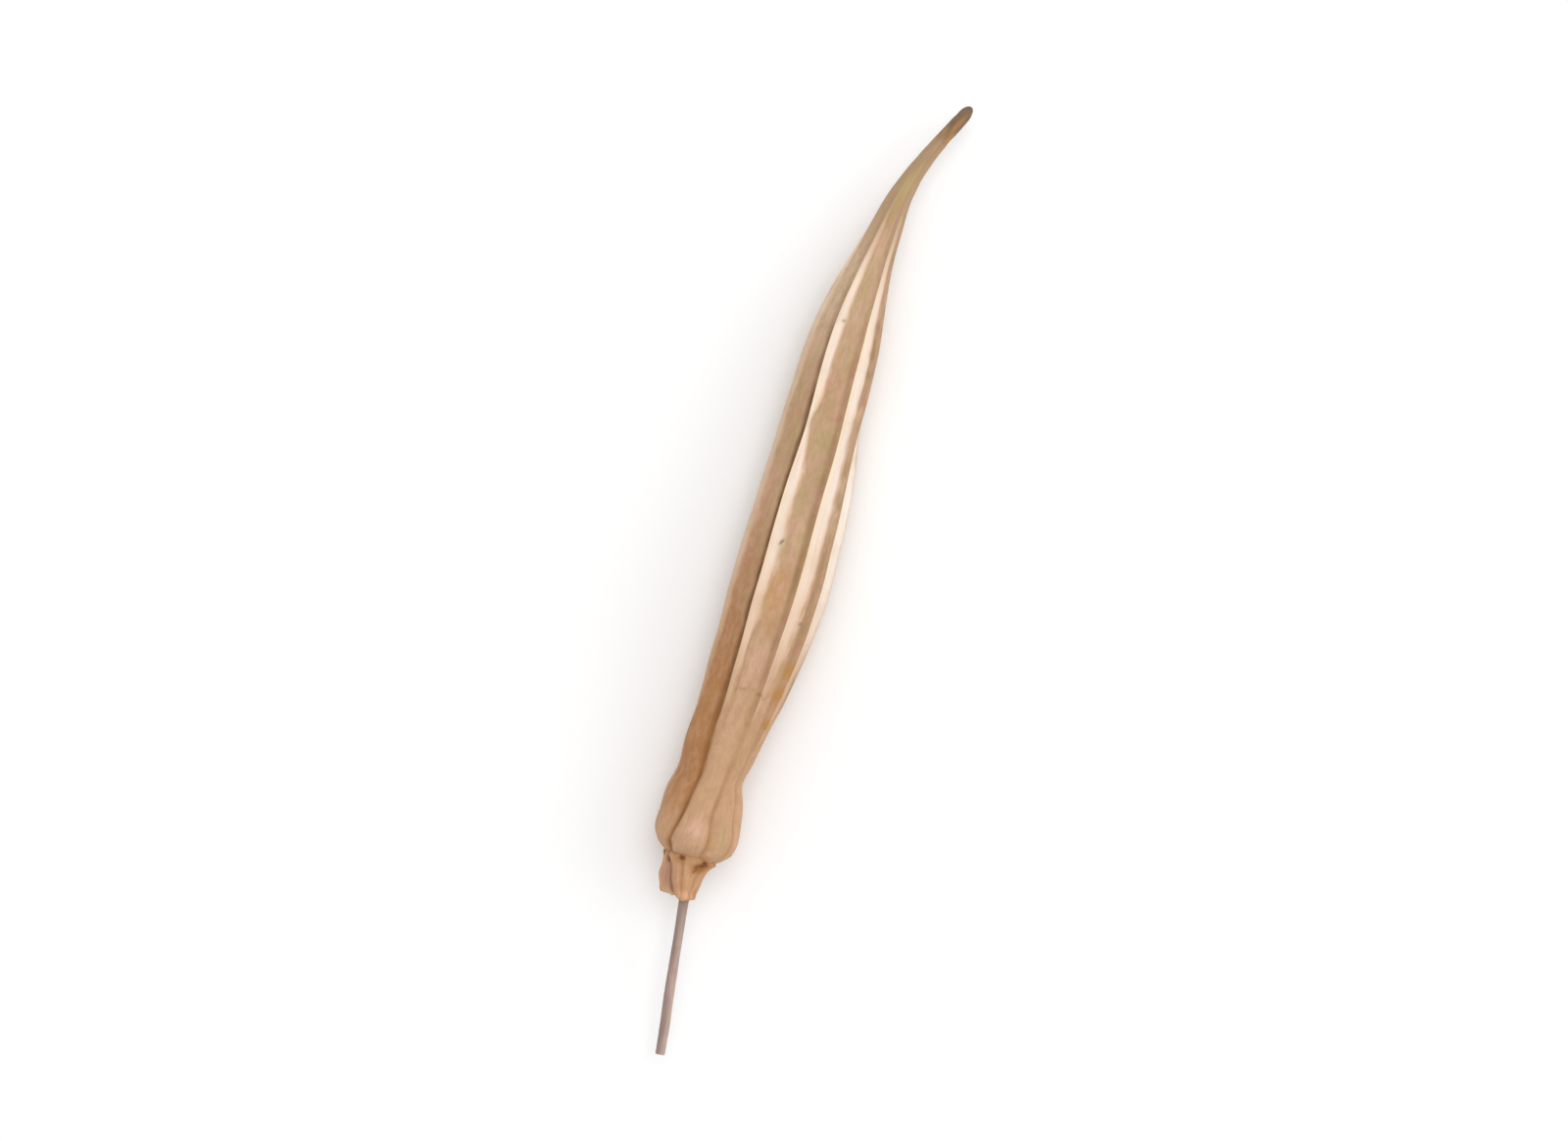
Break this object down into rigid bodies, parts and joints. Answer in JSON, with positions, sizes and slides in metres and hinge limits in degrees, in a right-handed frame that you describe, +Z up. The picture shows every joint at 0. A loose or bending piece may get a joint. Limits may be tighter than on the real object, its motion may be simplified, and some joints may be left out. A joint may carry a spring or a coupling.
{
  "type": "dried okra pod",
  "caption": "Dried ribbed okra pod with a lobed base, a bent beak and a cut stalk stub on a thin stick, lying on its side.",
  "frame": {"origin": "centre of the overall box in plan, at the height of the surface that the pod lies on", "axes": "+Y along the pod from the stick's cut end to the beak, +Z up from the surface, the beak bends towards +X"},
  "size_m": [0.021, 0.2042, 0.0196],
  "materials": {
    "dry_pod_wall": "dry matt pod wall, tan faces with pale split seams",
    "stalk_wood": "rough dry stalk wood",
    "stick_bark": "matt grey-brown stick"
  },
  "bodies": {
    "root": {"pod_body": "dry_pod_wall", "stalk_stub": "stalk_wood", "stick_stem": "stick_bark"}
  },
  "joints": []
}
